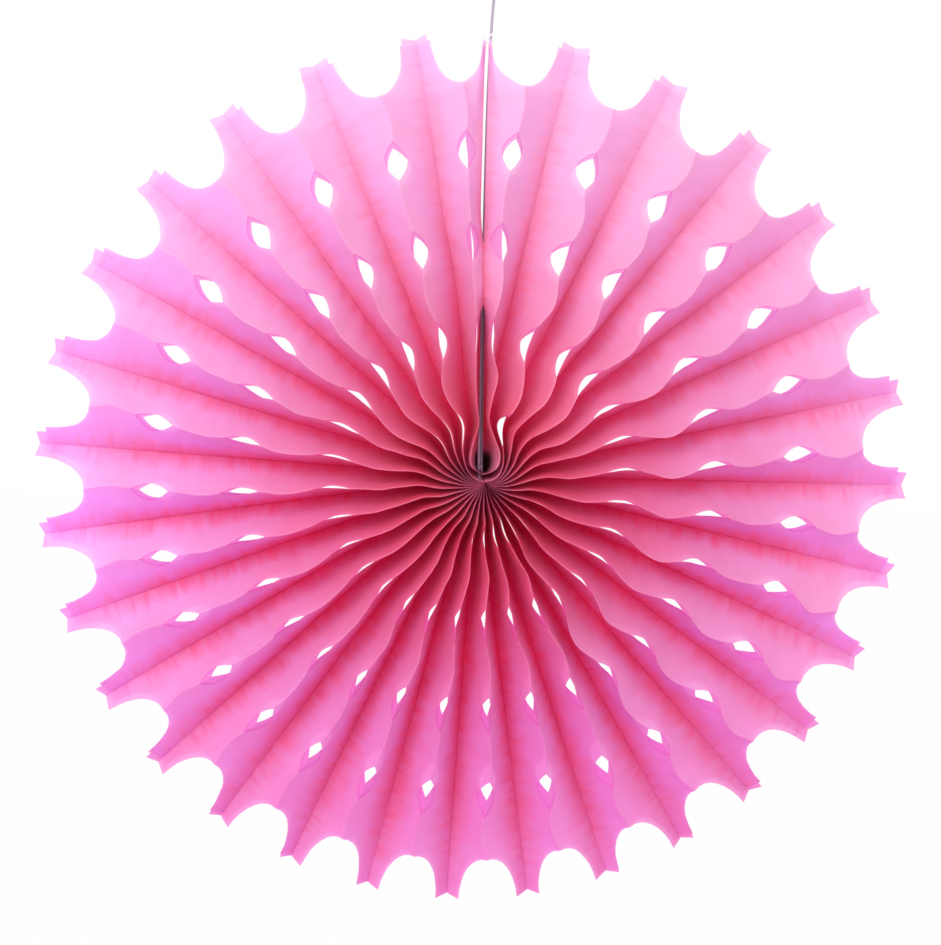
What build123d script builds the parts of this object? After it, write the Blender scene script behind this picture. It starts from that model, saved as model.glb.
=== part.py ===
"""Hanging paper fan rosette.

Two plies of tissue paper are pleated together, tied round the waist with string and opened into a
full circle. The pleats are snipped along their front folds and cut to scallops at the rim.
The front is at -Y and the top is at +Z. The origin is the middle of the waist.
"""

import math
import os

from build123d import *

os.makedirs("parts", exist_ok=True)

# Driving dimensions, in millimetres
rim_radius = 200.0
panel_width = 25.0
paper_thickness = 0.3
ply_gap = 0.1
waist_radius = 3.5
waist_depth = 20.0
back_ply_radius = 20.0
notch_length = 17.0
notch_depth = 7.0
notch_radii = (26.0, 67.0, 108.0, 148.0)
scallop_depth = 23.0
tip_panel_width = 8.4
seam_gap = 3.0
clearance = 0.2

# String: its two strands lie side by side as it rises, so it is two ties wide there
tie_diameter = 1.1
string_diameter = 2 * tie_diameter
knot_height = 2.6
loop_radius = 7.0
loop_knot_radius = 1.9
loop_knot_height = 3.4

# Waist tie: half its height and half its depth, to the middle of the string
tie_half_height = 5.2
tie_half_depth = 11.1

# Seam ties: how far out from the seam they pierce the paper, how high up, and how deep they reach
thread_diameter = 0.7
tie_inset = 2.0
notch_tie_height = 106.0
tip_tie_height = 196.0
seam_tie_depth = 11.8
seam_tie_middle = 5.1

# Route of the string: out of the knot, into the seam, past the rim and up to its loop
string_route = [(0, -12.3, 8.0), (0, 3.5, 108), (0, 3.0, 200), (2.2, 2.0, 221)]
bend_share = 0.45

# A panel stands open at the rim by this share of its width, which sets how many go round
opening_share = 0.838
petals = round(math.tau * rim_radius / (2 * panel_width * opening_share))

# The pleats hang closer together below the waist, and the two beside the seam are narrow
spread_share = 0.096
spread_lean = math.radians(9)
seam_petal_shares = (0.88, 0.75)

# Radii at which the pleats are drawn beyond the waist, as shares of the rim radius
station_shares = (0.28, 0.66, 1.0)
stations = [back_ply_radius] + [rim_radius * share for share in station_shares]

# Half lens of a notch, as shares of its length and depth, run on in front of the fold
notch_shares = ((-0.85, -1), (-0.17, 1), (0.17, 1), (0.85, -1))
scallop_steps = 3
thread_sides = 6


def valley_angles():
    """Angles of the valley folds, clockwise from the seam at the top as seen from the front."""
    step = math.tau / petals
    middles = [step * (k + 0.5) - spread_lean for k in range(petals)]
    widths = [1 + spread_share * math.cos(middle) for middle in middles]
    widths[0] *= seam_petal_shares[0]
    widths[-1] *= seam_petal_shares[1]
    angles = [0.0]
    for width in widths:
        angles.append(angles[-1] + width * math.tau / sum(widths))
    return angles


valleys = valley_angles()
ridges = [(low + high) / 2 for low, high in zip(valleys, valleys[1:])]


def outward(angle):
    """Direction away from the waist at an angle from the top."""
    return Vector(math.sin(angle), 0, math.cos(angle))


def clockwise(angle):
    """Direction along the rim at an angle from the top."""
    return Vector(math.cos(angle), 0, -math.sin(angle))


def panel_turn(k):
    """Angle from the ridge of a petal to its valleys."""
    return (valleys[k + 1] - valleys[k]) / 2


def valley_turn(k):
    """Mean angle of the two panels that meet at a valley."""
    return (panel_turn(max(k - 1, 0)) + panel_turn(min(k, petals - 1))) / 2


def fold_depth(radius, turn):
    """Depth of the pleats, which sinks as the panels open out."""
    return math.sqrt(panel_width**2 - (radius * turn) ** 2)


def along_depth(thickness, radius, turn):
    """Thickness of a sloping panel, measured straight from front to back."""
    return thickness * min(panel_width / (radius * turn), waist_depth / paper_thickness)


def ply_shift(ply, radius, turn):
    """How far a ply lies behind the front one."""
    return ply * along_depth(paper_thickness + ply_gap, radius, turn)


def petal_corners(k, radius, ply):
    """Front and back corners of a petal's V at one radius: left valley, ridge, right valley."""
    half = panel_turn(k)
    ridge_front = ply_shift(ply, radius, half) - fold_depth(radius, half) / 2
    ridge_back = ridge_front + along_depth(paper_thickness, radius, half)
    corners = [(outward(ridges[k]) * radius * math.cos(half), ridge_front, ridge_back)]
    for place, index in ((0, k), (2, k + 1)):
        turn = valley_turn(index)
        back = fold_depth(radius, turn) / 2 + ply_shift(ply, radius, turn)
        front = back - along_depth(paper_thickness, radius, turn)
        corners.insert(place, (outward(valleys[index]) * radius, front, back))
    fronts = [spot + Vector(0, front, 0) for spot, front, back in corners]
    backs = [spot + Vector(0, back, 0) for spot, front, back in corners]
    return fronts, backs


def facet(*corners):
    """Flat face through a few corners."""
    return Face(Wire.make_polygon(corners))


def waist_facets(fronts, backs):
    """Faces that close a petal down to the axis of the waist."""
    front_middle = Vector(0, -waist_depth / 2, 0)
    back_middle = Vector(0, waist_depth / 2, 0)
    faces = []
    for valley in (0, 2):
        faces.append(facet(front_middle, fronts[valley], fronts[1]))
        faces.append(facet(back_middle, backs[valley], backs[1]))
        faces.append(facet(front_middle, fronts[valley], backs[valley], back_middle))
    return faces


def folded_petal(k, ply, radii):
    """One V-folded petal of even thickness, with its twisted panels drawn as flat facets."""
    rows = [petal_corners(k, radius, ply) for radius in radii]
    faces = [facet(*rows[-1][0], *reversed(rows[-1][1]))]
    if ply == 0:
        faces += waist_facets(*rows[0])
    else:
        faces.append(facet(*rows[0][0], *reversed(rows[0][1])))
    for (near_fronts, near_backs), (far_fronts, far_backs) in zip(rows, rows[1:]):
        for valley in (0, 2):
            for near, far in ((near_fronts, far_fronts), (near_backs, far_backs)):
                faces.append(facet(near[valley], near[1], far[1]))
                faces.append(facet(near[valley], far[1], far[valley]))
            front_edge = (near_fronts[valley], far_fronts[valley])
            back_edge = (far_backs[valley], near_backs[valley])
            faces.append(facet(*front_edge, *back_edge))
    return Solid(Shell(faces))


def notch_outline(radius, turn):
    """Half lens snipped out of a ridge fold, seen along the rim."""
    depth = fold_depth(radius, turn)
    cut = notch_depth * depth / panel_width
    return [(radius + along * notch_length, deep * cut - depth / 2) for along, deep in notch_shares]


def scallop_outline(turn):
    """Everything outside the quarter ellipse that each panel ends in, seen along the rim."""
    depth = fold_depth(rim_radius, turn)
    curve_depth = (1 - tip_panel_width / panel_width) * depth
    outline = []
    for step in range(scallop_steps + 1):
        angle = math.pi / 2 * step / scallop_steps
        inward = scallop_depth * math.sin(angle)
        outline.append((rim_radius - inward, curve_depth * math.cos(angle) - depth / 2))
    before, outside = -panel_width, rim_radius + scallop_depth
    return outline + [(rim_radius - scallop_depth, before), (outside, before), (outside, outline[0][1])]


def petal(k, ply, radii):
    """One petal from valley to valley, with its notches and scallop."""
    ridge_plane = Plane(origin=(0, 0, 0), x_dir=outward(ridges[k]), z_dir=-clockwise(ridges[k]))
    turn = panel_turn(k)
    with BuildPart() as made:
        add(folded_petal(k, ply, radii))
        outlines = [notch_outline(radius, turn) for radius in notch_radii] + [scallop_outline(turn)]
        with BuildSketch(ridge_plane):
            for outline in outlines:
                with BuildLine():
                    Polyline(*outline, close=True)
                make_face()
        extrude(amount=panel_width, both=True, mode=Mode.SUBTRACT, clean=False)
    return made.part


def seam_openings():
    """Slot at the top that the string rises through, and the holes that the seam ties pass through."""
    slot_base = tie_half_height - tie_diameter / 2 - clearance
    hole = thread_diameter + 2 * clearance
    across = seam_gap / 2 + tie_inset
    with BuildSketch(Plane.XZ) as openings:
        with Locations((0, slot_base)):
            Rectangle(seam_gap, rim_radius, align=(Align.CENTER, Align.MIN))
        for height in (notch_tie_height, tip_tie_height):
            with Locations((-across, height), (across, height)):
                Rectangle(hole, hole)
    return openings.sketch


def tight_loop(plane, width, depth, diameter):
    """Loop of thread pulled tight round a rectangle, sized to the middle of the thread."""
    right, back = width / 2, depth / 2
    corners = [(right, -back), (right, back), (-right, back), (-right, -back)]
    with BuildPart() as loop:
        with BuildLine(plane) as path:
            Polyline((0, -back), *corners, (0, -back))
        with BuildSketch(path.line ^ 0):
            RegularPolygon(diameter / 2, thread_sides)
        sweep(transition=Transition.RIGHT)
    return loop.part


# Front ply, solid at the waist and grooved there for the tie
with BuildPart() as front_tissue_sheet:
    add([petal(k, 0, [waist_radius] + stations) for k in range(petals)], clean=False)
    extrude(seam_openings(), amount=panel_width, both=True, mode=Mode.SUBTRACT, clean=False)
    groove = tie_diameter / 2 + clearance
    with BuildSketch(Plane.YZ.offset(-groove)):
        Rectangle(panel_width + 2 * groove, 2 * (tie_half_height + groove))
        Rectangle(2 * (tie_half_depth - groove), 2 * (tie_half_height - groove), mode=Mode.SUBTRACT)
    extrude(amount=2 * groove, mode=Mode.SUBTRACT, clean=False)

# Back ply, nested in the pleats of the front one
with BuildPart() as back_tissue_sheet:
    add([petal(k, 1, stations) for k in range(petals)], clean=False)
    extrude(seam_openings(), amount=panel_width, both=True, mode=Mode.SUBTRACT, clean=False)

# String that gathers the waist, with its knot at the front of the seam
runs = [Vector(*end) - Vector(*start) for start, end in zip(string_route, string_route[1:])]
rise = runs[0].normalized()
with BuildPart() as waist_tie:
    add(tight_loop(Plane.YZ, 2 * tie_half_depth, 2 * tie_half_height, tie_diameter))
    with BuildSketch(Plane(origin=Vector(*string_route[0]) - rise * knot_height, z_dir=rise)):
        Circle(seam_gap / 2 - clearance)
    extrude(amount=knot_height)

# Double string that the rosette hangs from
bends = []
for before, after in zip(runs, runs[1:]):
    half_turn = math.radians(before.get_angle(after) / 2)
    bends.append(bend_share * min(before.length, after.length) / math.tan(half_turn))
with BuildPart() as hanging_string:
    with BuildLine() as route:
        FilletPolyline(*string_route, radius=bends)
    with BuildSketch(route.line ^ 0):
        Circle(string_diameter / 2)
    sweep()
print("bend radii of the string:", [round(bend, 1) for bend in bends])
print("length of the string:", round(route.wires()[0].length, 1))

# Knot and loop at the top end of the string
climb = runs[-1].normalized()
loop_base = Vector(*string_route[-1])
loop_middle = loop_base + climb * (loop_knot_height + loop_radius - tie_diameter / 2)
with BuildPart() as hanging_loop:
    with BuildSketch(Plane(origin=loop_base, z_dir=climb)):
        Circle(loop_knot_radius)
    extrude(amount=loop_knot_height)
    with BuildSketch(Plane(origin=loop_middle, x_dir=(1, 0, 0), z_dir=(0, 0, 1))):
        with Locations((loop_radius, 0)):
            RegularPolygon(tie_diameter / 2, thread_sides)
    revolve(axis=Axis(loop_middle, (0, 1, 0)))
print("inside top of the loop:", loop_middle + Vector(0, 0, loop_radius - tie_diameter / 2))

# Threads that close the seam, half way up and at the rim
seam_tie_width = seam_gap + 2 * tie_inset
with BuildPart() as notch_tie:
    plane = Plane(origin=(0, seam_tie_middle, notch_tie_height))
    add(tight_loop(plane, seam_tie_width, seam_tie_depth, thread_diameter))

with BuildPart() as tip_tie:
    plane = Plane(origin=(0, seam_tie_middle, tip_tie_height))
    add(tight_loop(plane, seam_tie_width, seam_tie_depth, thread_diameter))

front_tissue_sheet.part.label = "front_tissue_sheet"
export_step(front_tissue_sheet.part, "parts/front_tissue_sheet.step")
back_tissue_sheet.part.label = "back_tissue_sheet"
export_step(back_tissue_sheet.part, "parts/back_tissue_sheet.step")
waist_tie.part.label = "waist_tie"
export_step(waist_tie.part, "parts/waist_tie.step")
hanging_string.part.label = "hanging_string"
export_step(hanging_string.part, "parts/hanging_string.step")
hanging_loop.part.label = "hanging_loop"
export_step(hanging_loop.part, "parts/hanging_loop.step")
notch_tie.part.label = "notch_tie"
export_step(notch_tie.part, "parts/notch_tie.step")
tip_tie.part.label = "tip_tie"
export_step(tip_tie.part, "parts/tip_tie.step")
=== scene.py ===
import math

import bpy
from mathutils import Matrix, Vector, noise


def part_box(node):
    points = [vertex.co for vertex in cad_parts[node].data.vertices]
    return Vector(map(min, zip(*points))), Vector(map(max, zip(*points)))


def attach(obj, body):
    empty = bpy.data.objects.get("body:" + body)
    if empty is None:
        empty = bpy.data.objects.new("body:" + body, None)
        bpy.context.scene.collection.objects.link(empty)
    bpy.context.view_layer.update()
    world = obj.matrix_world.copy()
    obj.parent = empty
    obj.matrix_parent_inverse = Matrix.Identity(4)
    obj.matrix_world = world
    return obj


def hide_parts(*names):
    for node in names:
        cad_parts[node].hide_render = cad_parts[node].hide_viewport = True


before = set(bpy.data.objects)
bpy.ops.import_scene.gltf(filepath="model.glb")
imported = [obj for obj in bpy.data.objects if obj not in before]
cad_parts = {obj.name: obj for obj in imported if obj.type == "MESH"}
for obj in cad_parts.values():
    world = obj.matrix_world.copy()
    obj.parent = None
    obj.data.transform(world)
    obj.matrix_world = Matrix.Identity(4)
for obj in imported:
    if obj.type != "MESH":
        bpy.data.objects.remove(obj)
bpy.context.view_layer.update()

# Lengths are in millimetres until a vertex or a curve point is made
mm = 0.001

# Camera
camera_azimuth = math.radians(-3.66)
camera_elevation = math.radians(6.5)
camera_roll = math.radians(1.49)
camera_distance = 724.0
camera_aim = (-3.5, 0.0, 3.13)
camera_lens = 60.6
camera_nearest = 10.0

# Room, lamp and floor. The lamp's size and place are in metres, as Blender takes them.
room_light = 0.97
lamp_power = 15.0
lamp_size = 1.2
lamp_place = (-0.8, -1.5, 1.0)
floor_reach = 9000.0
floor_level = -1150.0
floor_whiteness = 0.93
floor_colour = "#F4F2F4"

# Rosette
rim_radius = 200.0
panel_width = 25.0
opening_share = 0.838
petals = round(math.tau * rim_radius / (2 * panel_width * opening_share))
spread_share = 0.096
spread_lean = math.radians(9)
seam_petal_shares = (0.88, 0.75)
notch_length = 17.3
notch_depth = 7.0
notch_radii = (26.0, 67.0, 108.0, 148.0)
notch_power = 1.9
scallop_depth = 23.0
tip_panel_width = 7.0
tip_width_swing = 0.7
tip_swallow = 1.8
ply_gap = 1.0

# Mesh of a panel
waist_row = 0.1
rim_row = 165.0
row_step = 1.75
notch_rows = 10
rim_rows = 14
tip_columns = 4
scallop_columns = 8

# String route, repeated from the part
string_route = [(0, -12.3, 8.0), (0, 3.5, 108), (0, 3.0, 200), (2.2, 2.0, 221)]
strand_diameter = 1.1
strand_sides = 8
fine_sides = 6
string_twist = 760.0
route_resolution = 60

# Sweep of the pleats near the waist
hub_shift = 2.0
hub_shift_reach = 26.0
hub_drop = -0.4
hub_drop_reach = 9.0
hub_sweep = 6.4
hub_sweep_power = 2.6
hub_sweep_start = 2.5
hub_sweep_reach = 21.0
hub_sweep_fade = 4
lip_rise = 3.6
seam_angles = (0.3, 0.1)
seam_bulge_right = 1.0
seam_bulge_left = -1.4
seam_bulge_middle = 21.0
seam_bulge_width = 11.0
seam_bulge_start = (3.0, 14.0)

# How far the pleats beside the seam are gathered towards it, on the right and on the left
gather_right = 4.2
gather_right_start = (12.0, 45.0)
gather_right_ease = 0.45
gather_right_ease_radii = (150.0, 200.0)
gather_left = 4.6
gather_left_middle = 90.0
gather_left_width = 42.0
gather_left_outer = 0.62
gather_left_outer_radii = (110.0, 150.0)
gather_left_ease = 0.3
gather_left_ease_radii = (175.0, 200.0)
gather_reach = 0.35
gather_seam_angle = 0.09

# Lean of the ridges between the rows of notches, on the right and on the left
lean_middles = (46.0, 88.0, 126.0)
lean_right = (2.6, 6.0, 4.8)
lean_left = (2.6, 3.3, 2.4)
lean_turn = math.radians(150)
lean_start = (8.0, 24.0)
lean_top_gain = 3.2
lean_width = 14.0
lean_uneven = 0.4
lean_wander = 5.0
seam_lean_shares = {0: (1.0, 0.4, -0.3), petals - 1: (0.1, 0.6, -0.1)}
waist_lean = 1.3
waist_lean_middle = 17.0
waist_lean_width = 8.0
rim_lean = 2.4
rim_lean_right = 2.2
rim_lean_sides = (0.3, 0.9)
rim_lean_uneven = 0.5
rim_lean_middle = 166.0
rim_lean_width = 10.0

# Where on the face the top and the foot begin, by the cosine of the angle from the top
top_heights = (0.2, 0.8)
foot_heights = (0.75, 0.95)

# Shares of a snip's depth that gape: by row at the sides, at the foot of the face and at its top
side_gape_shares = (0.12, 0.42, 0.58, 0.9)
foot_gape_shares = (0.45, 0.75, 0.85, 1.0)
top_gape_shares = (0.12, 0.8, 0.88, 1.0)
front_gape_swing = 0.35
front_gape_heights = (0.3, 0.9)
back_gape_swing = 0.2
gape_turn = 2.2

# The same shares for the petals near the seam, by petal and side
front_seam_shares = {
    (0, 0): (0.05, 0.6, 2.4, 1.6),
    (0, 1): (0.05, 0.6, 1.0, 0.95),
    (1, 0): (1.5, 0.9, 1.0, 1.0),
    (1, 1): (1.5, 0.9, 1.0, 1.0),
    (petals - 2, 0): (0.4, 0.85, 0.95, 1.0),
    (petals - 2, 1): (0.4, 0.85, 0.95, 1.0),
    (petals - 1, 0): (0.05, 0.35, 0.95, 1.0),
    (petals - 1, 1): (0.05, 0.35, 2.2, 2.0),
}
back_seam_shares = {
    (0, 0): (0.05, 0.1, 0.05, 1.4),
    (0, 1): (0.05, 0.7, 0.85, 1.0),
    (petals - 1, 0): (0.05, 0.1, 0.25, 0.95),
    (petals - 1, 1): (0.05, 0.05, 0.05, 0.08),
}

# How far the cuts of the back ply have slid towards the waist, near it and at the rim
slide_inner = 3.0
slide_inner_foot = 5.5
slide_inner_power = 2.2
slide_rim = (6.0, 1.6, -3.6)
slide_rim_radii = (160.0, 190.0)
slide_start = (12.0, 60.0)
slide_tip_ease = 0.6

# Width of the back ply's tips beyond the front's, by height, and on the panels that face down
back_tip_widths = (0.8, 1.15, -0.15)
back_tip_down = 1.9

# Free edges at the seam: where they overlap, how far forward they stand, and where the slit lies
free_edges = ((0, 0), (petals - 1, 1))
seam_closed_start = (16.0, 28.0)
seam_closed_end = (108.0, 100.0)
seam_overlap = 0.6
seam_half_width = 0.12
seam_step_back = 0.4
tucked_edge = -4.5
tucked_radii = (66.0, 84.0)
slit_edge = 0.4
slit_edge_radii = (92.0, 112.0)
slit_shift = -1.0
slit_shift_radii = (88.0, 128.0)
slit_half_width = 0.8
slit_radii = (104.0, 122.0)
slit_tip_ease = 0.5
slit_tip_radii = (182.0, 198.0)
tip_pinch_right = 0.85
tip_pinch_left = 0.6
tip_pinch_radii = (150.0, 196.0)
tip_pinch_across = (0.8, 0.3)
seam_tip_cut = 4.0
opening_radii = (15.0, 9.0)
opening_across = (0.7, 0.4)

# Waves of the folds and wrinkles of the panels: height, length along the radius, slant across it
valley_wave = 0.35
valley_wave_length = 7.0
ridge_wave = 0.5
ridge_wave_length = 9.0
ridge_depth_wave = 0.3
ridge_depth_length = 8.0
ridge_curl = 0.6
belly_height = 0.9
belly_length = 45.0
belly_level = 3.0
fine_height = 0.55
fine_length = 5.5
fine_slant = 1.8
pucker_height = 0.5
pucker_length = 4.2
pucker_slant = 0.8
pucker_peak = 0.14
pucker_start = 50
crumple_radii = (25.0, 90.0)

# Steps through the noise from one fold or panel to the next, unlike so that no two patterns agree
valley_step = 7.3
ridge_step = 5.3
ridge_depth_step = 2.9
lean_amount_steps = (3.1, 5.7)
lean_place_steps = (1.7, 9.1)
rim_lean_steps = (2.3, 4.4)
tip_steps = (4.3, 2.7, 0.4)
belly_step = 4.7
fine_step = 6.1
pucker_step = 2.3

# Waist tie: its closed winding, its knot and the two ends that run on into the string
waist_loop_middle = (0.0, 0.0, -0.4)
waist_loop_half_depth = 11.1
waist_loop_half_height = 3.3
waist_loop_corner = 1.6
waist_loop_step = 0.5
waist_winding = (0.27, 3.2, 0.3)
waist_knot_middle = (0.7, -2.4, 3.0)
waist_knot_turns = (72, 0.95, 0.42)
waist_knot_size = (0.5, 1.15)
waist_knot_radius = 0.42
tie_ends = [(0.6, -4.5, 3.2), (0.4, -8.0, 4.4), (0.2, -10.8, 6.2), (0, -12.3, 8.0)]

# Hanging loop and its knot
loop_radius = 7.0
loop_points = 120
loop_sink = 0.55
loop_winding = (0.26, 3.0, 0.29)
loop_knot_height = 3.4
loop_knot_turns = (96, 1.05, 0.4)
loop_knot_swell = 1.15
loop_knot_radius = 0.45

# Threads across the seam: width, climb and shift, and how far inside its plain solid a thread runs
notch_thread = (4.8, 0.45, -0.8)
tip_thread = (3.6, 1.2, -0.9)
thread_inset = 0.45
thread_corner = 1.2
thread_step = 0.35
thread_winding = (0.2, 1.8, 0.24)

# Colours of the tissue by share of the rim's radius, on panels facing down or up and along creases.
# They hold painted light and shade: deeper towards the waist, paler towards the rim, lighter on panels
# facing up than on those facing down, and rosy along the creases.
shaded_down_colours = (
    (0.0, "#FF84A8"),
    (0.12, "#FF709C"),
    (0.34, "#FA7CB8"),
    (0.62, "#F89CEC"),
    (0.88, "#FFB8FF"),
    (1.0, "#FFACFC"),
)
lit_up_colours = (
    (0.0, "#FF84A8"),
    (0.12, "#FF78A4"),
    (0.34, "#FA90C4"),
    (0.62, "#F8B4E4"),
    (0.88, "#FFCCF4"),
    (1.0, "#FFBCF4"),
)
crease_shade_colours = (
    (0.0, "#FF5484"),
    (0.15, "#FF4C84"),
    (0.45, "#FF6094"),
    (0.8, "#FF88B4"),
    (1.0, "#FFB0F0"),
)

# Colours laid over those, in the order in which the material adds them. All are painted light or shade:
# shade in the crease line and the grooves, a highlight on the ridges, light on the hub, the top and the
# left, shade at the foot and on the right, light on panels facing right and near the ridges at the foot,
# and shade on the back ply inside the holes and inside the seam's opening.
crease_line_shade_colour = "#DC3478"
groove_shade_colour = "#B42460"
ridge_highlight_colour = "#FFB0D0"
hub_light_colour = "#FFC0DC"
top_light_colour = "#FFE0F4"
left_light_colour = "#FFB0FF"
foot_shade_colour = "#E05098"
right_shade_colour = "#E468A8"
right_facing_light_colour = "#FFC8EC"
foot_ridge_light_colour = "#FF98F8"
back_ply_shade_colour = "#F450D4"
opening_shadow_colour = "#1C0008"

# Ranges of the tissue's shading: from, to, and the share at each end where it isn't 0 and 1.
# These run with the direction that a panel faces, or with the place on the object in metres.
down_range = (-0.6, 0.6)
low_range = (-0.04, -0.15)
upper_range = (-0.005, 0.03, 1.0, 0.1)
height_range = (-0.02, 0.15, 0.0, 0.6)
left_range = (-0.03, -0.16, 0.0, 0.14)
right_range = (0.03, 0.12, 0.0, 0.2)

# These run with the share of the rim's radius
halo_fade = (0.75, 0.98, 0.8, 0.25)
groove_range = (0.1, 0.42, 0.5, 0.0)
edge_fade = (0.2, 0.6, 0.7, 0.15)
hub_range = (0.03, 0.13, 0.95, 0.0)
outer_range = (0.3, 0.6)
inside_range = (0.86, 0.9)
through_range = (0.1, 0.5, 0.62, 0.42)

# These run with the share of a panel's width from its valley to its ridge
line_range = (0.010, 0.035, 0.5, 0.0)
edge_range = (0.92, 0.985)
ridge_range = (0.15, 0.75)

# Wrinkles in the tissue's painted shade and bump, and its uneven tone: scales along the radius, across and
# from panel to panel
streak_scales = (42.0, 1.3, 3.7)
blotch_scales = (9.0, 1.6, 1.9)
pucker_scales = (58.0, 0.7, 5.3)
pucker_range = (0.52, 0.66)
pucker_reach = (1.1, 2.2)
pucker_strength = 0.85
blotch_tones = (0.84, 0.32)
halo_slope = 2.1
halo_low_slope = 0.65
halo_streak = 1.3
line_fade = 1.2
hub_floor = 0.45
foot_shade_strength = 0.36
right_facing_light_strength = 0.4
foot_ridge_light_strength = 0.3
back_shade = 0.35
opening_shade = 0.9
grain_scale = 900.0
relief_shares = (0.8, 0.15, 0.5)
tissue_bump = 0.35
tissue_bump_depth = 0.0012
tissue_roughness = 0.82
tissue_specular = 0.15

# Cotton of the string and the threads. The string's low colour is painted shade in the seam, and its
# second strand is painted darker there too.
# The heights between which its colour turns are in metres.
string_colours = ("#7A5068", "#B0A4B8")
thread_colours = ("#FFC4DC", "#FFF0F8")
cotton_heights = (0.09, 0.2)
second_strand_shade_colour = "#38182C"
second_strand_shade = 0.65
twist_scale = 420.0
twist_bend = 1.5
fuzz_scale = 1500.0
fuzz_share = 0.5
cotton_bump = 0.3
cotton_bump_depth = 0.0001
cotton_roughness = 0.85
cotton_sheen = 0.15


def smooth(value, low, high):
    """Smooth step from 0 at low to 1 at high."""
    share = min(max((value - low) / (high - low), 0.0), 1.0)
    return share * share * (3 - 2 * share)


def bump(value, middle, width):
    """Smooth hump, 1 at its middle."""
    return math.exp(-(((value - middle) / width) ** 2))


def wave_noise(first, second, third=0.0):
    """Smooth noise from about -1 to 1, the same at each run."""
    return noise.noise(Vector((first, second, third)))


def valley_angles():
    """Angles of the valley folds, clockwise from the seam at the top, as in the part."""
    step = math.tau / petals
    middles = [step * (k + 0.5) - spread_lean for k in range(petals)]
    widths = [1 + spread_share * math.cos(middle) for middle in middles]
    widths[0] *= seam_petal_shares[0]
    widths[-1] *= seam_petal_shares[1]
    angles = [0.0]
    for width in widths:
        angles.append(angles[-1] + width * math.tau / sum(widths))
    return angles


valleys = valley_angles()
ridges = [(low + high) / 2 for low, high in zip(valleys, valleys[1:])]
turns = [(high - low) / 2 for low, high in zip(valleys, valleys[1:])]


def gathered(side, radius, from_top):
    """How far a fold near the seam is drawn towards it."""
    if side > 0:
        gather = gather_right * smooth(radius, *gather_right_start)
        gather *= 1 - gather_right_ease * smooth(radius, *gather_right_ease_radii)
    else:
        gather = gather_left * bump(radius, gather_left_middle, gather_left_width)
        outer = gather_left * gather_left_outer * smooth(radius, *gather_left_outer_radii)
        gather += outer * (1 - gather_left_ease * smooth(radius, *gather_left_ease_radii))
    return gather * bump(from_top, 0.0, gather_reach) * smooth(from_top, 0.0, gather_seam_angle)


def fold_place(angle, radius):
    """Place of a fold on the face of the rosette, swept away from the seam near the waist."""
    side = 1.0 if angle < math.pi else -1.0
    from_top = min(angle, math.tau - angle)
    sweep = hub_sweep * math.cos(from_top / 2) ** hub_sweep_power
    sweep *= 1 - math.exp(-radius / hub_sweep_start)
    sweep *= math.exp(-((radius / hub_sweep_reach) ** hub_sweep_fade))
    beside_seam = smooth(from_top, *seam_angles)
    bulge = seam_bulge_right if side > 0 else seam_bulge_left
    bulge *= bump(radius, seam_bulge_middle, seam_bulge_width) * smooth(radius, *seam_bulge_start)
    sweep += bulge * beside_seam
    fall = hub_drop * (1 - beside_seam) - lip_rise * beside_seam
    drop = fall * bump(radius, 0.0, hub_drop_reach)
    shift = hub_shift * bump(radius, 0.0, hub_shift_reach)
    gather = gathered(side, radius, from_top)
    x = radius * math.sin(angle) + side * sweep * math.cos(angle) + shift - side * gather
    z = radius * math.cos(angle) - side * sweep * math.sin(angle) - drop
    return x, z


def fold_depth(radius, turn):
    """Depth of the pleats, which sinks as the panels open out."""
    return math.sqrt(panel_width**2 - (min(radius, rim_radius) * turn) ** 2)


def seam_edge(side, radius):
    """Free edge at the seam, on one side of the slit."""
    closed = smooth(radius, *seam_closed_start) * smooth(radius, *seam_closed_end)
    opened = smooth(radius, *slit_radii) * (1 - slit_tip_ease * smooth(radius, *slit_tip_radii))
    half = seam_half_width + slit_half_width * opened - seam_overlap * closed
    shift = slit_shift * smooth(radius, *slit_shift_radii)
    shift += hub_shift * bump(radius, 0.0, hub_shift_reach)
    back = fold_depth(radius, turns[0]) / 2
    forward = tucked_edge + (slit_edge - tucked_edge) * smooth(radius, *slit_edge_radii)
    depth = back + (forward - back) * smooth(radius, *tucked_radii) - seam_step_back * side * closed
    return Vector((side * half + shift, depth, radius))


def valley_point(index, radius):
    """Point on a valley fold, or on a free edge at the seam."""
    if index in (0, petals):
        return seam_edge(1 if index == 0 else -1, radius)
    turn = (turns[index - 1] + turns[index]) / 2
    x, z = fold_place(valleys[index], radius)
    back = fold_depth(radius, turn) / 2
    back += valley_wave * wave_noise(index * valley_step, radius / valley_wave_length)
    return Vector((x, back, z))


def ridge_lean(k, radius):
    """How far a ridge fold leans over, clockwise."""
    angle = ridges[k]
    right = angle < lean_turn
    lean = 0.0
    for order, (middle, amount) in enumerate(zip(lean_middles, lean_right if right else lean_left)):
        if order == 0:
            amount += lean_top_gain * smooth(math.cos(angle), *top_heights)
        amount *= seam_lean_shares.get(k, (1.0, 1.0, 1.0))[order]
        amount *= 1 + lean_uneven * wave_noise(k * lean_amount_steps[0], order * lean_amount_steps[1])
        wander = wave_noise(k * lean_place_steps[0], order * lean_place_steps[1])
        lean += amount * bump(radius, middle + lean_wander * wander, lean_width)
    lean += ridge_wave * wave_noise(k * ridge_step, radius / ridge_wave_length)
    if not right:
        lean += waist_lean * bump(radius, waist_lean_middle, waist_lean_width)
    lean *= (1.0 if right else -1.0) * smooth(radius, *lean_start)
    outer = rim_lean + rim_lean_right * smooth(math.sin(angle), *rim_lean_sides)
    outer *= 1 + rim_lean_uneven * wave_noise(k * rim_lean_steps[0], rim_lean_steps[1])
    return lean + outer * bump(radius, rim_lean_middle, rim_lean_width)


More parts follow.
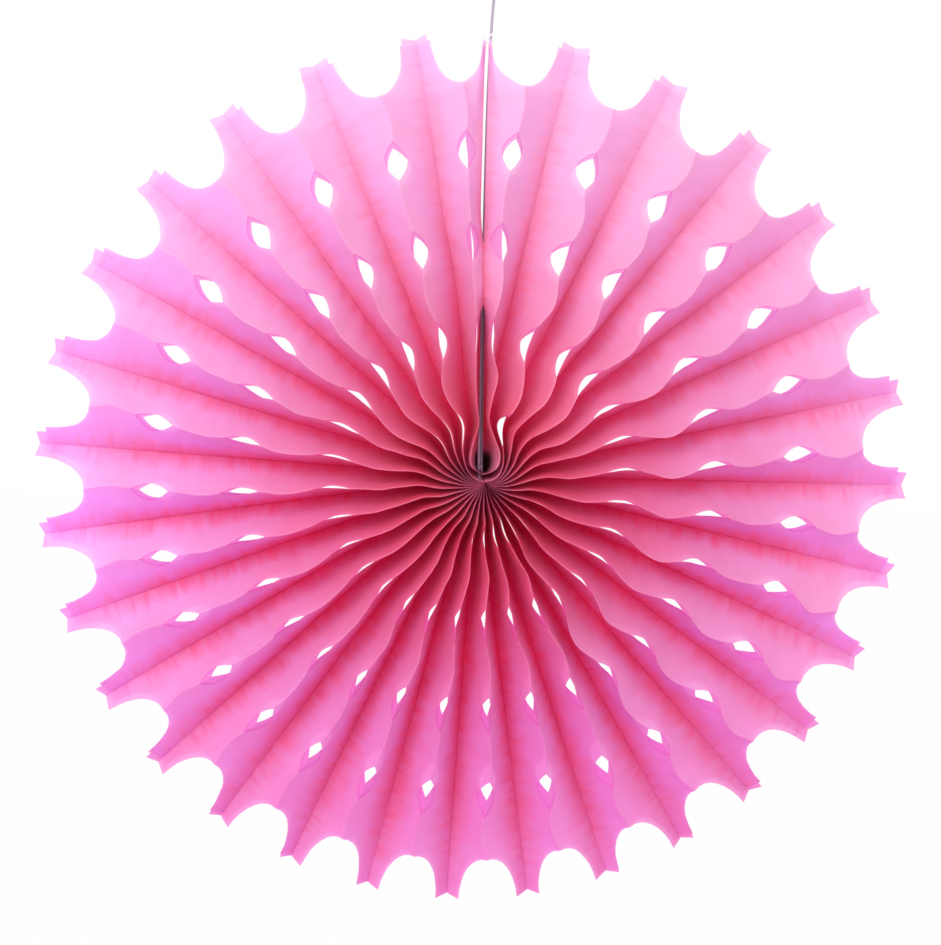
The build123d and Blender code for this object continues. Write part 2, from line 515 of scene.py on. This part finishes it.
def ridge_point(k, radius):
    """Point on a ridge fold, which leans over between the rows of notches."""
    turn, angle = turns[k], ridges[k]
    x, z = fold_place(angle, radius * math.cos(turn))
    lean = ridge_lean(k, radius)
    wave = ridge_depth_wave * wave_noise(k * ridge_depth_step, radius / ridge_depth_length)
    front = -fold_depth(radius, turn) / 2 + wave
    return Vector((x + lean * math.cos(angle), front, z - lean * math.sin(angle)))


def facing_down(k, side):
    """1 for a panel that faces down, -1 for one that faces up."""
    return -math.sin(ridges[k]) * (1 if side == 0 else -1)


def facing_right(k, side):
    """1 for a panel that faces right, -1 for one that faces left."""
    return math.cos(ridges[k]) * (1 if side == 1 else -1)


def cut_slide(ply, angle, radius):
    """How far the cuts of a ply have slid towards the waist."""
    if ply == 0:
        return 0.0
    height = math.cos(angle)
    inner = slide_inner + slide_inner_foot * ((1 - height) / 2) ** slide_inner_power
    rim = slide_rim[0] + slide_rim[1] * height + slide_rim[2] * height**2
    return (inner + (rim - inner) * smooth(radius, *slide_rim_radii)) * smooth(radius, *slide_start)


def gape_share(k, side, row, ply):
    """Share of a snip's depth that gapes in one panel, for one row and ply."""
    height = math.cos(ridges[k])
    sides, foot, top = side_gape_shares[row], foot_gape_shares[row], top_gape_shares[row]
    share = sides + (top - sides) * smooth(height, *top_heights)
    share += (foot - sides) * smooth(-height, *foot_heights)
    downwards = max(-1.0, min(1.0, gape_turn * facing_down(k, side)))
    share *= 1 + front_gape_swing * downwards * (1 - smooth(height, *front_gape_heights))
    if (k, side) in front_seam_shares:
        share = front_seam_shares[k, side][row]
    if ply == 0:
        return share
    if (k, side) in back_seam_shares:
        return back_seam_shares[k, side][row]
    return share * (1 - back_gape_swing * downwards)


def notch_cut(radius):
    """Depth of the snip into a panel at one radius, and the number of its row."""
    for row, middle in enumerate(notch_radii):
        off = abs(radius - middle) / (notch_length / 2)
        if off < 1:
            return notch_depth * (1 - off**notch_power), row
    return 0.0, 0


def panel_rows():
    """Radii of the rows of a panel, close together along the notches."""
    found = []
    start = waist_row
    for middle in notch_radii:
        low, high = middle - notch_length / 2, middle + notch_length / 2
        count = max(round((low - start) / row_step), 1)
        found += [start + (low - start) * i / count for i in range(count)]
        found += [low + (high - low) * i / notch_rows for i in range(notch_rows)]
        start = high
    count = max(round((rim_row - start) / row_step), 1)
    return found + [start + (rim_row - start) * i / count for i in range(count)]


rows = panel_rows()


def tip_width(k, side, ply):
    """Width of a panel at its tip."""
    width = tip_panel_width
    width += tip_width_swing * wave_noise(k * tip_steps[0], side * tip_steps[1] + tip_steps[2])
    if ply == 1:
        height = math.cos(ridges[k])
        width += back_tip_widths[0] + back_tip_widths[1] * height + back_tip_widths[2] * height**2
        width += back_tip_down * facing_down(k, side)
    return width


def panel_columns(k, side, ply):
    """Places across a panel and the rim radius at each, from the valley to the ridge."""
    tip_share = tip_width(k, side, ply) / panel_width
    cut = seam_tip_cut if (k, side) in free_edges else 0.0
    rim = rim_radius - cut
    columns = []
    for i in range(tip_columns):
        columns.append((tip_share * i / tip_columns, rim - tip_swallow * (1 - i / tip_columns)))
    for i in range(scallop_columns + 1):
        angle = math.pi / 2 * i / scallop_columns
        share = 1 - (1 - tip_share) * math.cos(angle)
        columns.append((share, rim - (scallop_depth - cut) * math.sin(angle)))
    return columns


def crumple(panel, radius, across):
    """Height of the paper's small wrinkles and bellies off its flat panel."""
    inside = math.sin(math.pi * min(max(across, 0), 1))
    belly = wave_noise(panel * belly_step, radius / belly_length, belly_level)
    fine = wave_noise(panel * fine_step, radius / fine_length, across * fine_slant)
    pucker = wave_noise(panel * pucker_step + pucker_start, radius / pucker_length, across * pucker_slant)
    near_valley = min(across / pucker_peak * math.exp(1 - across / pucker_peak), 1.0)
    height = (belly_height * belly + fine_height * fine) * inside + pucker_height * pucker * near_valley
    return height * smooth(radius, *crumple_radii)


def panel_point(k, side, radius, across):
    """Point on a panel: side 0 lies before the ridge going clockwise, side 1 after it."""
    valley = valley_point(k + side, radius)
    ridge = ridge_point(k, radius)
    point = valley.lerp(ridge, across)
    x, z = fold_place(ridges[k], radius * math.cos(turns[k]))
    straight = Vector((x, ridge.y, z))
    point += (ridge - straight) * (across**2 - across) * ridge_curl
    out = Vector((math.sin(ridges[k]), 0, math.cos(ridges[k])))
    normal = (ridge - valley).cross(out).normalized()
    if normal.y > 0:
        normal = -normal
    point += normal * crumple(2 * k + side, radius, across)
    if (k, side) in free_edges:
        pinch = tip_pinch_right if k == 0 else tip_pinch_left
        pinch *= smooth(radius, *tip_pinch_radii) * smooth(across, *tip_pinch_across)
        point.y -= pinch * abs(point.x - valley.x)
        point.x += pinch * (valley.x - point.x)
    return point


def tissue_sheet(name, ply):
    """One ply of the fan as a single folded sheet with its snips and scallops."""
    vertices, faces, sharp, downs, rights = [], [], [], [], []
    radii, acrosses, panels, opening_shadows = [], [], [], []
    index = {}
    last_column = tip_columns + scallop_columns

    def vertex(k, side, row, column, columns):
        """Index of a vertex, shared along the folds."""
        cut, snip = (0.0, 0) if row >= len(rows) else notch_cut(rows[row])
        if column == 0:
            key = ("valley", k + side, row)
        elif column == last_column and cut == 0:
            key = ("ridge", k, row)
        else:
            key = (k, side, row, column)
        if key in index:
            return index[key]
        share, rim = columns[column]
        across = share * (1 - cut * gape_share(k, side, snip, ply) / panel_width)
        towards_tip = 1.0
        if row < len(rows):
            radius = rows[row]
        else:
            step = (row - len(rows) + 1) / rim_rows
            radius = rows[-1] + (rim - rows[-1]) * step
            near_valley = 1 - min(column / tip_columns, 1.0)
            towards_tip = (1 - share) * (1 - slide_tip_ease * step * near_valley)
        angle = valleys[k + side] + (ridges[k] - valleys[k + side]) * across
        radius -= cut_slide(ply, angle, radius) * towards_tip
        point = panel_point(k, side, radius, across)
        point.y += ply * ply_gap
        index[key] = len(vertices)
        vertices.append(point * mm)
        radii.append(radius / rim_radius)
        acrosses.append(across)
        panels.append(float(2 * k + side))
        # Where a shadow is painted inside the seam's opening at the waist
        opening = 1.0 if (k, side) in free_edges else 0.0
        opening_shadows.append(opening * smooth(radius, *opening_radii) * smooth(across, *opening_across))
        return index[key]

    row_count = len(rows) + rim_rows
    for k in range(petals):
        for side in (0, 1):
            columns = panel_columns(k, side, ply)
            for row in range(row_count - 1):
                for column in range(last_column):
                    corners = [
                        vertex(k, side, row, column, columns),
                        vertex(k, side, row + 1, column, columns),
                        vertex(k, side, row + 1, column + 1, columns),
                        vertex(k, side, row, column + 1, columns),
                    ]
                    if side == 1:
                        corners.reverse()
                    faces.append(corners)
                    downs.append(facing_down(k, side))
                    rights.append(facing_right(k, side))
                for column in (0, last_column):
                    start = vertex(k, side, row, column, columns)
                    end = vertex(k, side, row + 1, column, columns)
                    sharp.append(tuple(sorted((start, end))))
    mesh = bpy.data.meshes.new(name)
    mesh.from_pydata(vertices, [], faces)
    folds = set(sharp)
    for edge in mesh.edges:
        edge.use_edge_sharp = tuple(sorted(edge.vertices)) in folds
    for face in mesh.polygons:
        face.use_smooth = True
    labels = {"radius": radii, "across": acrosses, "panel": panels, "opening": opening_shadows}
    for label, values in labels.items():
        attribute = mesh.attributes.new(label, "FLOAT", "POINT")
        attribute.data.foreach_set("value", values)
    for label, values in (("down", downs), ("right", rights)):
        attribute = mesh.attributes.new(label, "FLOAT", "FACE")
        attribute.data.foreach_set("value", values)
    sheet = bpy.data.objects.new(name, mesh)
    bpy.context.scene.collection.objects.link(sheet)
    return sheet


def linear(code):
    """Linear colour from a web colour."""
    channels = [int(code[i : i + 2], 16) / 255 for i in (1, 3, 5)]
    return [c / 12.92 if c <= 0.04045 else ((c + 0.055) / 1.055) ** 2.4 for c in channels] + [1.0]


class Nodes:
    """Short ways to add and link the nodes of one material."""

    def __init__(self, name):
        self.material = bpy.data.materials.new(name)
        self.material.use_nodes = True
        self.tree = self.material.node_tree
        self.tree.nodes.clear()

    def add(self, kind, **inputs):
        """A node with some of its inputs set or linked."""
        node = self.tree.nodes.new(kind)
        for label, value in inputs.items():
            self.set(node, label.replace("_", " "), value)
        return node

    def set(self, node, label, value):
        """Set or link one input, by its name or its number."""
        socket = node.inputs[int(label)] if label.isdigit() else node.inputs[label]
        if isinstance(value, bpy.types.NodeSocket):
            self.tree.links.new(value, socket)
        else:
            socket.default_value = value

    def attribute(self, name):
        """A number stored on the mesh."""
        node = self.add("ShaderNodeAttribute")
        node.attribute_name = name
        return node.outputs["Fac"]

    def math(self, operation, *values):
        """Sum, difference or product of two values."""
        node = self.add("ShaderNodeMath")
        node.operation = operation
        for i, value in enumerate(values):
            self.set(node, str(i), value)
        return node.outputs[0]

    def ranged(self, value, low, high, start=0.0, end=1.0):
        """A value from start to end as another goes from low to high."""
        node = self.add("ShaderNodeMapRange", Value=value)
        for label, number in (("From Min", low), ("From Max", high), ("To Min", start), ("To Max", end)):
            node.inputs[label].default_value = number
        return node.outputs[0]

    def ramp(self, factor, stops):
        """Colour that runs through some web colours."""
        node = self.add("ShaderNodeValToRGB", Fac=factor)
        while len(node.color_ramp.elements) < len(stops):
            node.color_ramp.elements.new(0.5)
        for element, (place, code) in zip(node.color_ramp.elements, stops):
            element.position = place
            element.color = linear(code)
        return node.outputs["Color"]

    def mix(self, factor, first, second, blend="MIX"):
        """One colour over another."""
        node = self.add("ShaderNodeMix")
        node.data_type = "RGBA"
        node.blend_type = blend
        self.set(node, "0", factor)
        self.set(node, "6", first)
        self.set(node, "7", second)
        return node.outputs[2]

    def noise(self, vector, scale, detail=3.0, rough=0.55):
        """Cloudy noise from 0 to 1."""
        node = self.add("ShaderNodeTexNoise", Vector=vector, Scale=scale, Detail=detail, Roughness=rough)
        return node.outputs["Fac"]

    def stretched_noise(self, values, scales, detail, rough):
        """Noise whose three directions are some values, each times a scale."""
        x, y, z = (self.math("MULTIPLY", value, scale) for value, scale in zip(values, scales))
        return self.noise(self.add("ShaderNodeCombineXYZ", X=x, Y=y, Z=z).outputs[0], 1.0, detail, rough)

    def finish(self, shader):
        """The material, with a shader for its surface."""
        output = self.add("ShaderNodeOutputMaterial")
        self.tree.links.new(shader, output.inputs["Surface"])
        return self.material


def tissue_material(name, shade):
    """Pink tissue whose colour holds painted shade, deeper at the waist, painted light, paler and more
    violet at the rim, and painted rosy shade along its creases.
    """
    n = Nodes(name)
    radius = n.attribute("radius")
    across = n.attribute("across")
    panel = n.attribute("panel")
    place = n.add("ShaderNodeTexCoord").outputs["Object"]
    position = n.add("ShaderNodeSeparateXYZ", Vector=place)
    low = n.ranged(position.outputs["Z"], *low_range)
    streak = n.stretched_noise((radius, across, panel), streak_scales, 2.0, 0.5)
    blotch = n.stretched_noise((radius, across, panel), blotch_scales, 2.0, 0.5)
    pucker = n.stretched_noise((radius, across, panel), pucker_scales, 1.0, 0.4)

    # Painted light and shade: panels facing up lighter than those facing down, and a rosy halo of painted
    # shade along the creases, with streaks and puckers across it
    down = n.ranged(n.attribute("down"), *down_range)
    face = n.mix(down, n.ramp(radius, lit_up_colours), n.ramp(radius, shaded_down_colours))
    crease_shade = n.ramp(radius, crease_shade_colours)
    slope = n.math("SUBTRACT", halo_slope, n.math("MULTIPLY", low, halo_low_slope))
    near = n.math("SUBTRACT", 1.0, n.math("MULTIPLY", across, slope))
    near = n.math("ADD", near, n.math("MULTIPLY", n.math("SUBTRACT", streak, 0.5), halo_streak))
    near = n.add("ShaderNodeClamp", Value=near).outputs[0]
    halo = n.math("MULTIPLY", near, n.ranged(radius, *halo_fade))
    paper = n.mix(halo, face, crease_shade)
    # Painted shade of the puckers near the creases, in the crease colour
    reach = n.math("SUBTRACT", pucker_reach[0], n.math("MULTIPLY", across, pucker_reach[1]))
    reach = n.add("ShaderNodeClamp", Value=reach).outputs[0]
    folded = n.math("MULTIPLY", n.ranged(pucker, *pucker_range), reach)
    paper = n.mix(n.math("MULTIPLY", folded, pucker_strength), paper, crease_shade)
    tone = n.math("ADD", blotch_tones[0], n.math("MULTIPLY", blotch, blotch_tones[1]))
    tone_colour = n.add("ShaderNodeCombineColor", Red=1.0, Green=tone, Blue=tone).outputs[0]
    paper = n.mix(1.0, paper, tone_colour, "MULTIPLY")

    # Painted shade in the crease line and the deep grooves near the waist, a painted highlight on the
    # ridges and painted light on the pale hub
    line = n.math("MULTIPLY", n.ranged(across, *line_range), n.math("SUBTRACT", line_fade, radius))
    paper = n.mix(line, paper, linear(crease_line_shade_colour))
    groove = n.math("MULTIPLY", n.ranged(radius, *groove_range), n.math("SUBTRACT", 1.0, across))
    groove = n.math("MULTIPLY", groove, n.ranged(position.outputs["Z"], *upper_range))
    paper = n.mix(groove, paper, linear(groove_shade_colour))
    edge = n.math("MULTIPLY", n.ranged(across, *edge_range), n.ranged(radius, *edge_fade))
    paper = n.mix(edge, paper, linear(ridge_highlight_colour))
    spread = n.math("ADD", hub_floor, n.math("MULTIPLY", across, 1.0 - hub_floor))
    hub = n.math("MULTIPLY", n.ranged(radius, *hub_range), spread)
    paper = n.mix(hub, paper, linear(hub_light_colour))

    # Painted light, paler at the top and more violet on the left; painted shade, deeper at the foot and on
    # the right; and painted light on panels facing right and near the ridges at the foot
    paper = n.mix(n.ranged(position.outputs["Z"], *height_range), paper, linear(top_light_colour))
    paper = n.mix(n.ranged(position.outputs["X"], *left_range), paper, linear(left_light_colour))
    paper = n.mix(n.math("MULTIPLY", low, foot_shade_strength), paper, linear(foot_shade_colour))
    paper = n.mix(n.ranged(position.outputs["X"], *right_range), paper, linear(right_shade_colour))
    ridge = n.math("MULTIPLY", n.ranged(across, *ridge_range), n.ranged(radius, *outer_range))
    right_facing_light = n.add("ShaderNodeClamp", Value=n.attribute("right")).outputs[0]
    right_facing_light = n.math("MULTIPLY", ridge, n.math("MULTIPLY", right_facing_light, right_facing_light_strength))
    paper = n.mix(right_facing_light, paper, linear(right_facing_light_colour))
    foot_ridge_light = n.math("MULTIPLY", ridge, n.math("MULTIPLY", low, foot_ridge_light_strength))
    paper = n.mix(foot_ridge_light, paper, linear(foot_ridge_light_colour))

    # Painted shade on the back ply as it shows inside the holes, and a painted shadow inside the seam's
    # opening at the waist
    paper = n.mix(n.ranged(radius, *inside_range, shade, 0.0), paper, linear(back_ply_shade_colour))
    paper = n.mix(n.math("MULTIPLY", n.attribute("opening"), opening_shade), paper, linear(opening_shadow_colour))

    grain = n.noise(place, grain_scale, 4.0, 0.6)
    height = n.math("MULTIPLY", streak, relief_shares[0])
    height = n.math("ADD", height, n.math("MULTIPLY", grain, relief_shares[1]))
    height = n.math("SUBTRACT", height, n.math("MULTIPLY", folded, relief_shares[2]))
    dent = n.add("ShaderNodeBump", Strength=tissue_bump, Distance=tissue_bump_depth, Height=height)
    dent = dent.outputs[0]
    skin = n.add("ShaderNodeBsdfPrincipled", Base_Color=paper, Roughness=tissue_roughness, Normal=dent)
    skin.inputs["Specular IOR Level"].default_value = tissue_specular
    glow = n.add("ShaderNodeBsdfTranslucent", Color=paper, Normal=dent)
    both = n.add("ShaderNodeMixShader", Fac=n.ranged(radius, *through_range))
    n.set(both, "1", skin.outputs[0])
    n.set(both, "2", glow.outputs[0])
    return n.finish(both.outputs[0])


def string_material(name, low, high):
    """Twisted cotton string, one colour low in the seam and another above the rim; on the string the low
    colour and the darker second strand are painted shade.
    """
    n = Nodes(name)
    place = n.add("ShaderNodeTexCoord").outputs["Object"]
    height = n.add("ShaderNodeSeparateXYZ", Vector=place).outputs["Z"]
    rise = n.ranged(height, *cotton_heights)
    colour = n.mix(rise, linear(low), linear(high))
    # Painted shade on the second strand, low in the seam
    second = n.math("MULTIPLY", n.attribute("strand"), n.math("SUBTRACT", 1.0, rise))
    colour = n.mix(n.math("MULTIPLY", second, second_strand_shade), colour, linear(second_strand_shade_colour))
    twist = n.add("ShaderNodeTexWave", Vector=place, Scale=twist_scale, Distortion=twist_bend, Detail=1.0)
    twist.bands_direction = "DIAGONAL"
    fuzz = n.noise(place, fuzz_scale, 3.0)
    relief = n.math("ADD", twist.outputs["Fac"], n.math("MULTIPLY", fuzz, fuzz_share))
    dent = n.add("ShaderNodeBump", Strength=cotton_bump, Distance=cotton_bump_depth, Height=relief)
    dent = dent.outputs[0]
    cotton = n.add("ShaderNodeBsdfPrincipled", Base_Color=colour, Roughness=cotton_roughness, Normal=dent)
    cotton.inputs["Sheen Weight"].default_value = cotton_sheen
    return n.finish(cotton.outputs[0])


def made_mesh(name, vertices, faces, material):
    """Smooth mesh object at the origin, from points in millimetres."""
    mesh = bpy.data.meshes.new(name)
    mesh.from_pydata([Vector(v) * mm for v in vertices], [], faces)
    for face in mesh.polygons:
        face.use_smooth = True
    mesh.materials.append(material)
    made = bpy.data.objects.new(name, mesh)
    bpy.context.scene.collection.objects.link(made)
    return made


def ring_frames(path, closed):
    """A steady pair of side directions at each point of a path."""
    frames = []
    side = None
    count = len(path)
    for i, point in enumerate(path):
        after = path[(i + 1) % count] if closed or i + 1 < count else point
        before = path[i - 1] if closed or i else point
        along = (after - before).normalized()
        if side is None:
            guess = Vector((1, 0, 0)) if abs(along.x) < 0.8 else Vector((0, 1, 0))
            side = (guess - along * guess.dot(along)).normalized()
        else:
            side = (side - along * side.dot(along)).normalized()
        frames.append((side, along.cross(side)))
    return frames


def strand_mesh(paths, radius, sides=strand_sides, closed=False):
    """Vertices and faces of round tubes along some paths."""
    vertices, faces = [], []
    for path in paths:
        start = len(vertices)
        for point, (side, up) in zip(path, ring_frames(path, closed)):
            for j in range(sides):
                turn = math.tau * j / sides
                vertices.append(point + (side * math.cos(turn) + up * math.sin(turn)) * radius)
        count = len(path)
        for i in range(count if closed else count - 1):
            for j in range(sides):
                near, far = start + i * sides, start + (i + 1) % count * sides
                across = (j + 1) % sides
                faces.append((near + j, near + across, far + across, far + j))
        if not closed:
            faces.append([start + j for j in reversed(range(sides))])
            faces.append([start + (count - 1) * sides + j for j in range(sides)])
    return vertices, faces


def twisted(path, spread, pitch, closed=False):
    """Two paths that wind round one."""
    frames = ring_frames(path, closed)
    if closed:
        total = sum((b - a).length for a, b in zip(path, path[1:] + path[:1]))
        pitch = total / max(round(total / pitch), 1)
    pair = []
    for strand in (0, 1):
        points = []
        length = 0.0
        for i, (point, (side, up)) in enumerate(zip(path, frames)):
            if i:
                length += (point - path[i - 1]).length
            turn = math.tau * length / pitch + math.pi * (1 - strand)
            points.append(point + (side * math.cos(turn) + up * math.sin(turn)) * spread)
        pair.append(points)
    return pair


def wound(path, winding):
    """Vertices and faces of a closed two-strand cord: its spread, its pitch and the strands' radius."""
    spread, pitch, radius = winding
    return strand_mesh(twisted(path, spread, pitch, closed=True), radius, fine_sides, True)


def joined(*meshes):
    """Vertices and faces of several meshes as one."""
    vertices, faces = [], []
    for more, more_faces in meshes:
        start = len(vertices)
        vertices += more
        faces += [tuple(start + i for i in face) for face in more_faces]
    return vertices, faces


def knot_turns(count, swing, swell):
    """Points round a trefoil knot: two directions across it and one along it."""
    points = []
    for i in range(count):
        turn = math.tau * i / count
        reach = swing + swell * math.cos(3 * turn)
        points.append((reach * math.cos(2 * turn), reach * math.sin(2 * turn), math.sin(3 * turn)))
    return points


def rounded_loop(middle, half_width, half_height, corner, first, second, steps=6):
    """Closed rounded rectangle in the plane of two directions."""
    points = []
    for quarter in range(4):
        across = 1 if quarter in (0, 3) else -1
        up = 1 if quarter < 2 else -1
        for i in range(steps + 1):
            turn = math.pi / 2 * (quarter + i / steps)
            x = across * (half_width - corner) + corner * math.cos(turn)
            y = up * (half_height - corner) + corner * math.sin(turn)
            points.append(middle + first * x + second * y)
    return points


def evened(points, step):
    """Points at even steps along a closed path."""
    found = []
    for a, b in zip(points, points[1:] + points[:1]):
        count = max(round((b - a).length / step), 1)
        found += [a.lerp(b, i / count) for i in range(count)]
    return found


def spline_points(points, resolution):
    """Smooth line through the control points of an open spline, in millimetres."""
    curve = bpy.data.curves.new("route", "CURVE")
    curve.dimensions = "3D"
    curve.resolution_u = resolution
    spline = curve.splines.new("NURBS")
    spline.points.add(len(points) - 1)
    for target, point in zip(spline.points, points):
        target.co = (*[value * mm for value in point], 1.0)
    spline.order_u = 3
    spline.use_endpoint_u = True
    carrier = bpy.data.objects.new("route", curve)
    bpy.context.scene.collection.objects.link(carrier)
    line = bpy.data.meshes.new_from_object(carrier)
    found = [v.co.copy() / mm for v in line.vertices]
    bpy.data.objects.remove(carrier)
    return found


def make_camera():
    """Camera at the photograph's angle."""
    level = math.cos(camera_elevation)
    aside, forward = math.sin(camera_azimuth) * level, -math.cos(camera_azimuth) * level
    place = Vector((aside, forward, math.sin(camera_elevation))) * camera_distance * mm
    behind = (place - Vector(camera_aim) * mm).normalized()
    right = Vector((0, 0, 1)).cross(behind).normalized()
    up = behind.cross(right)
    right, up = (
        right * math.cos(camera_roll) + up * math.sin(camera_roll),
        up * math.cos(camera_roll) - right * math.sin(camera_roll),
    )
    data = bpy.data.cameras.new("camera")
    data.lens = camera_lens
    data.clip_start = camera_nearest * mm
    camera = bpy.data.objects.new("camera", data)
    turn = Matrix((right, up, behind)).transposed().to_4x4()
    camera.matrix_world = Matrix.Translation(place) @ turn
    bpy.context.scene.collection.objects.link(camera)
    bpy.context.scene.camera = camera


def make_lights():
    """Soft white room and one large lamp above and to the left."""
    world = bpy.data.worlds.new("studio")
    bpy.context.scene.world = world
    world.use_nodes = True
    tree = world.node_tree
    tree.nodes.clear()
    seen = tree.nodes.new("ShaderNodeLightPath")
    mixed = tree.nodes.new("ShaderNodeMixShader")
    output = tree.nodes.new("ShaderNodeOutputWorld")
    tree.links.new(seen.outputs["Is Camera Ray"], mixed.inputs[0])
    for socket, strength in ((1, room_light), (2, 1.0)):
        background = tree.nodes.new("ShaderNodeBackground")
        background.inputs["Color"].default_value = (1, 1, 1, 1)
        background.inputs["Strength"].default_value = strength
        tree.links.new(background.outputs[0], mixed.inputs[socket])
    tree.links.new(mixed.outputs[0], output.inputs[0])
    lamp = bpy.data.lights.new("key", "AREA")
    lamp.size = lamp_size
    lamp.energy = lamp_power
    key = bpy.data.objects.new("key", lamp)
    key.location = lamp_place
    key.rotation_mode = "QUATERNION"
    key.rotation_quaternion = (-Vector(lamp_place)).to_track_quat("-Z", "Y")
    bpy.context.scene.collection.objects.link(key)


def make_stage():
    """Pale floor, far below the hanging rosette."""
    n = Nodes("floor_paint")
    plain = n.add("ShaderNodeBsdfDiffuse", Color=linear(floor_colour))
    white = n.add("ShaderNodeEmission", Color=(1, 1, 1, 1), Strength=1.0)
    seen = n.add("ShaderNodeLightPath")
    both = n.add("ShaderNodeMixShader")
    n.set(both, "0", n.math("MULTIPLY", seen.outputs["Is Camera Ray"], floor_whiteness))
    n.set(both, "1", plain.outputs[0])
    n.set(both, "2", white.outputs[0])
    signs = ((-1, -1), (1, -1), (1, 1), (-1, 1))
    corners = [(x * floor_reach, y * floor_reach, floor_level) for x, y in signs]
    floor = made_mesh("floor", corners, [(0, 1, 2, 3)], n.finish(both.outputs[0]))


def make_string(material):
    """Two strands, side by side in the seam and one behind the other above the rim."""
    line = spline_points(string_route, route_resolution)
    strands = twisted(line, strand_diameter / 2, string_twist)
    vertices, faces = strand_mesh(strands, strand_diameter / 2)
    string = made_mesh("string_double", vertices, faces, material)
    attribute = string.data.attributes.new("strand", "FLOAT", "POINT")
    half = len(vertices) // 2
    attribute.data.foreach_set("value", [0.0] * half + [1.0] * (len(vertices) - half))
    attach(string, "root")
    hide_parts("hanging_string")
    return string, line


def make_waist_tie(material):
    """Tie drawn tight round the waist, its knot and its two ends behind the lip of the seam."""
    depth, up = Vector((0, 1, 0)), Vector((0, 0, 1))
    sizes = (waist_loop_half_depth, waist_loop_half_height, waist_loop_corner)
    loop = rounded_loop(Vector(waist_loop_middle), *sizes, depth, up)
    middle = Vector(waist_knot_middle)
    thin, tall = waist_knot_size
    knot = [middle + Vector((u, thin * w, tall * v)) for u, v, w in knot_turns(*waist_knot_turns)]
    ends = twisted([Vector(point) for point in tie_ends], strand_diameter / 2, string_twist)
    vertices, faces = joined(
        wound(evened(loop, waist_loop_step), waist_winding),
        strand_mesh([knot], waist_knot_radius, closed=True),
        strand_mesh(ends, strand_diameter / 2),
    )
    tie = made_mesh("waist_binding", vertices, faces, material)
    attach(tie, "root")
    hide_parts("waist_tie")


def make_seam_tie(name, node, sizes, material):
    """Thin thread through both sides of the seam, its front run climbing to the right."""
    width, climb, shift = sizes
    low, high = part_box(node)
    middle = (Vector(low) + Vector(high)) / 2 / mm + Vector((shift, 0, 0))
    half_depth = (high[1] - low[1]) / 2 / mm - thread_inset
    corner = min(thread_corner, width / 2)
    loop = rounded_loop(middle, width / 2, half_depth, corner, Vector((1, 0, 0)), Vector((0, 1, 0)))
    path = evened(loop, thread_step)
    for point in path:
        front = smooth(point.y, middle.y + half_depth, middle.y - half_depth)
        point.z += climb * (point.x - middle.x) * front
    vertices, faces = wound(path, thread_winding)
    tie = made_mesh(name, vertices, faces, material)
    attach(tie, "root")
    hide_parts(node)


def make_loop(material):
    """Knot and loop that the rosette hangs from."""
    climb = (Vector(string_route[-1]) - Vector(string_route[-2])).normalized()
    base = Vector(string_route[-1])
    middle = base + climb * (loop_knot_height + loop_radius - loop_sink)
    path = []
    for i in range(loop_points):
        turn = math.tau * i / loop_points
        path.append(middle + Vector((math.sin(turn), 0, math.cos(turn))) * loop_radius)
    knot = []
    for u, v, w in knot_turns(*loop_knot_turns):
        knot.append(base + climb * (loop_knot_height / 2 + loop_knot_swell * w) + Vector((u, v, 0)))
    vertices, faces = joined(wound(path, loop_winding), strand_mesh([knot], loop_knot_radius, closed=True))
    loop = made_mesh("string_loop", vertices, faces, material)
    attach(loop, "root")
    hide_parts("hanging_loop")
    return loop


make_camera()
make_lights()
make_stage()

string_cotton = string_material("string_cotton", *string_colours)
thread_cotton = string_material("thread_cotton", *thread_colours)
string, string_line = make_string(string_cotton)
string_loop = make_loop(string_cotton)
make_waist_tie(string_cotton)
make_seam_tie("notch_thread", "notch_tie", notch_thread, thread_cotton)
make_seam_tie("tip_thread", "tip_tie", tip_thread, thread_cotton)

front_paper = tissue_material("front_tissue", 0.0)
back_paper = tissue_material("back_tissue", back_shade)
for name, ply, node, paper in (
    ("front_tissue", 0, "front_tissue_sheet", front_paper),
    ("back_tissue", 1, "back_tissue_sheet", back_paper),
):
    sheet = tissue_sheet(name, ply)
    sheet.data.materials.append(paper)
    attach(sheet, "root")
    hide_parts(node)

bpy.context.scene.view_settings.view_transform = "Standard"
